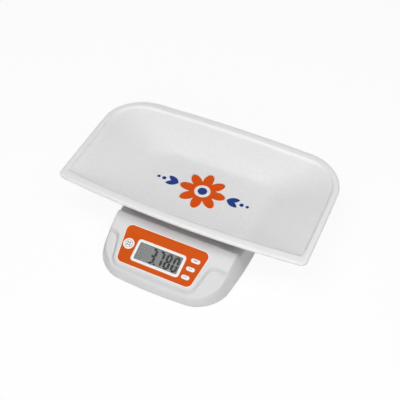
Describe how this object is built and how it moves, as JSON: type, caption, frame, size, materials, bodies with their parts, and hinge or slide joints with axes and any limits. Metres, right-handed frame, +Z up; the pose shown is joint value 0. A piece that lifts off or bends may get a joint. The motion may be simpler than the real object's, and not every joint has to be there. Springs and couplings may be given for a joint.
{
  "type": "baby weighing scale",
  "caption": "Digital baby weighing scale: long shallow tray on a low plastic base, with a tilted console holding a display and oval push buttons.",
  "frame": {"origin": "on the surface it stands on, under the middle of the whole object", "axes": "+X along the tray's length to the right of the console, +Y from the console to the back, +Z up"},
  "size_m": [0.556, 0.4206, 0.115],
  "materials": {
    "case_plastic": "moulded white plastic with a fine satin finish",
    "tray_plastic": "moulded white plastic, frosted inside",
    "orange_plastic": "glossy orange faceplate",
    "button_plastic": "white plastic",
    "lens": "clear window",
    "digit_black": "dark display segments",
    "display_grey": "grey liquid-crystal glass",
    "inner_plastic": "plain plastic",
    "rubber": "dark rubber",
    "steel": "zinc-plated steel",
    "aluminium": "machined aluminium",
    "sealant": "white silicone sealant",
    "board": "green circuit board",
    "chip_black": "black moulded parts",
    "battery": "plain dark battery jacket",
    "lead": "insulated wire",
    "print_orange": "orange print",
    "print_blue": "blue print"
  },
  "bodies": {
    "base": {"lower_cover": "case_plastic", "upper_cover": "case_plastic", "rubber_feet": "rubber", "case_screws": "steel", "panel_label": "orange_plastic", "badge_disc": "button_plastic", "display_frame": "button_plastic", "display_lens": "lens", "display_digits": "digit_black", "display_glass": "display_grey", "display_holder": "inner_plastic", "contact_strips": "rubber", "main_board": "board", "board_chips": "chip_black", "board_connectors": "inner_plastic", "buzzer": "chip_black", "tact_switches": "chip_black", "board_screws": "steel", "lower_bracket": "steel", "bracket_screws": "steel", "lower_spacer": "aluminium", "load_cell": "aluminium", "gauge_sealant": "sealant", "overload_stop": "steel", "upper_spacer": "aluminium", "upper_bracket": "steel", "load_cell_screws": "steel", "platform": "case_plastic", "platform_screws": "steel", "platform_pads": "rubber", "battery_cells": "battery", "battery_springs": "steel", "battery_plates": "steel", "load_cell_lead": "lead", "battery_leads": "lead"},
    "power_key": {"power_button": "button_plastic"},
    "hold_key": {"hold_button": "button_plastic"},
    "tare_key": {"tare_button": "button_plastic"},
    "door": {"battery_door": "case_plastic"},
    "tray_unit": {"tray": "tray_plastic", "print_orange": "print_orange", "print_blue": "print_blue"}
  },
  "joints": [
    {"name": "power_press", "type": "slide", "parent": "base", "child": "power_key", "axis": [0, 0.309, -0.9511], "range_m": [0, 0.0007], "stiffness_N_per_m": 2500},
    {"name": "hold_press", "type": "slide", "parent": "base", "child": "hold_key", "axis": [0, 0.309, -0.9511], "range_m": [0, 0.0007], "stiffness_N_per_m": 2500},
    {"name": "tare_press", "type": "slide", "parent": "base", "child": "tare_key", "axis": [0, 0.309, -0.9511], "range_m": [0, 0.0007], "stiffness_N_per_m": 2500},
    {"name": "door_slide", "type": "slide", "parent": "base", "child": "door", "axis": [0, 1, 0], "range_m": [0, 0.064]},
    {"name": "tray_lift", "type": "slide", "parent": "base", "child": "tray_unit", "axis": [0, 0, 1], "range_m": [0, 0.12]}
  ]
}
